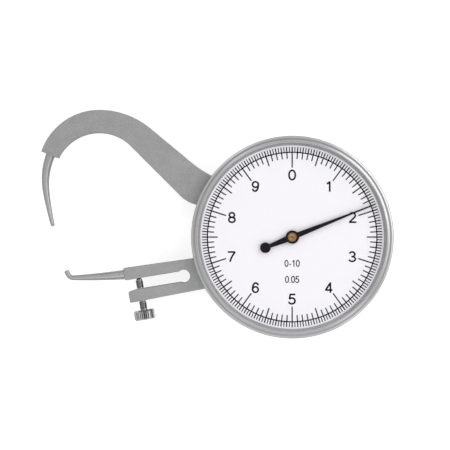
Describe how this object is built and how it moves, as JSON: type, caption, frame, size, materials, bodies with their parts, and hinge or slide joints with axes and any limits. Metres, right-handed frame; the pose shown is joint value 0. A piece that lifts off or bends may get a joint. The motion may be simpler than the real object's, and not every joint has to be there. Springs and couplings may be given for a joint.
{
  "type": "dial thickness gauge",
  "caption": "Round dial gauge with a curved swinging arm and a forked fixed arm whose bent tips close on a wall or sheet to read its thickness.",
  "frame": {"origin": "where the dial axis meets the flat back face", "axes": "+Z out of the dial along the dial axis, +Y towards the dial's zero, +X to the right as the dial is read; the arms reach towards -X"},
  "size_m": [0.0906, 0.0588, 0.0139],
  "materials": {
    "case_metal": "turned and satin plated",
    "bezel_metal": "turned, fine satin with a bright ridge",
    "dial_ring_metal": "fine satin",
    "crystal_glass": "clear",
    "dial_white": "matt white enamel, printed graduation",
    "plate_brass": "brushed",
    "bush_bronze": "bored",
    "gear_brass": "cut teeth, polished",
    "arbor_steel": "turned and polished",
    "spring_steel": "tempered",
    "small_screws": "turned, slotted",
    "arm_steel": "bead blasted satin",
    "contact_steel": "ground and polished",
    "adjusting_screw_chrome": "turned, straight knurl, nickel plated",
    "pointer_black": "matt black lacquer",
    "pointer_brass": "turned"
  },
  "bodies": {
    "gauge_body": {"case_body": "case_metal", "back_cover": "case_metal", "back_cover_screws": "small_screws", "bezel": "bezel_metal", "dial_ring": "dial_ring_metal", "crystal": "crystal_glass", "dial_plate": "dial_white", "main_plate": "plate_brass", "main_plate_screws": "small_screws", "pillars": "arbor_steel", "bridge_plate": "plate_brass", "bridge_screws": "small_screws", "lower_arm_bush": "bush_bronze", "upper_arm_bush": "bush_bronze", "fixed_arm": "arm_steel", "fixed_arm_screws": "small_screws", "fixed_arm_dowels": "small_screws", "lower_contact": "contact_steel", "stop_pin": "arbor_steel", "spring_post": "arbor_steel", "return_spring": "spring_steel", "hairspring_stud": "gear_brass", "hairspring": "spring_steel"},
    "measuring_arm": {"moving_arm": "arm_steel", "upper_contact": "contact_steel", "arm_pivot_shaft": "arbor_steel", "sector_gear": "gear_brass", "sector_screws": "small_screws"},
    "intermediate_gear": {"intermediate_arbor": "arbor_steel", "intermediate_wheel": "gear_brass"},
    "pointer_axle": {"centre_arbor": "arbor_steel", "pointer": "pointer_black", "pointer_hub": "pointer_brass"},
    "take_up_gear": {"take_up_arbor": "arbor_steel", "take_up_wheel": "gear_brass", "hairspring_collet": "gear_brass"},
    "setting_screw": {"adjusting_screw": "adjusting_screw_chrome"}
  },
  "joints": [
    {"name": "arm_swing", "type": "hinge", "parent": "gauge_body", "child": "measuring_arm", "pos_m": [-0.0126, 0.01077, 0.0064], "axis": [0, 0, 1], "range_deg": [0, 13.65], "stiffness_Nm_per_rad": 0.05, "springref_deg": -28.65, "deforming": ["return_spring", "hairspring"]},
    {"name": "intermediate_turn", "type": "hinge", "parent": "gauge_body", "child": "intermediate_gear", "pos_m": [-0.00084, 0.00808, 0.0064], "axis": [0, 0, 1], "range_deg": [-117.5, 0]},
    {"name": "pointer_turn", "type": "hinge", "parent": "gauge_body", "child": "pointer_axle", "pos_m": [0, 0, 0.0064], "axis": [0, 0, 1], "range_deg": [0, 427.21]},
    {"name": "take_up_turn", "type": "hinge", "parent": "gauge_body", "child": "take_up_gear", "pos_m": [0.00381, -0.00617, 0.0064], "axis": [0, 0, 1], "range_deg": [-136.11, 0]},
    {"name": "setting_screw_turn", "type": "hinge", "parent": "gauge_body", "child": "setting_screw", "pos_m": [-0.03934, -0.01201, 0.0064], "axis": [0.1633, -0.9866, 0], "range_deg": [-270, 630]}
  ],
  "couplings": [
    {"joint": "intermediate_turn", "follows": "arm_swing", "ratio": -8.5714},
    {"joint": "pointer_turn", "follows": "arm_swing", "ratio": 31.224},
    {"joint": "take_up_turn", "follows": "arm_swing", "ratio": -9.9351}
  ]
}
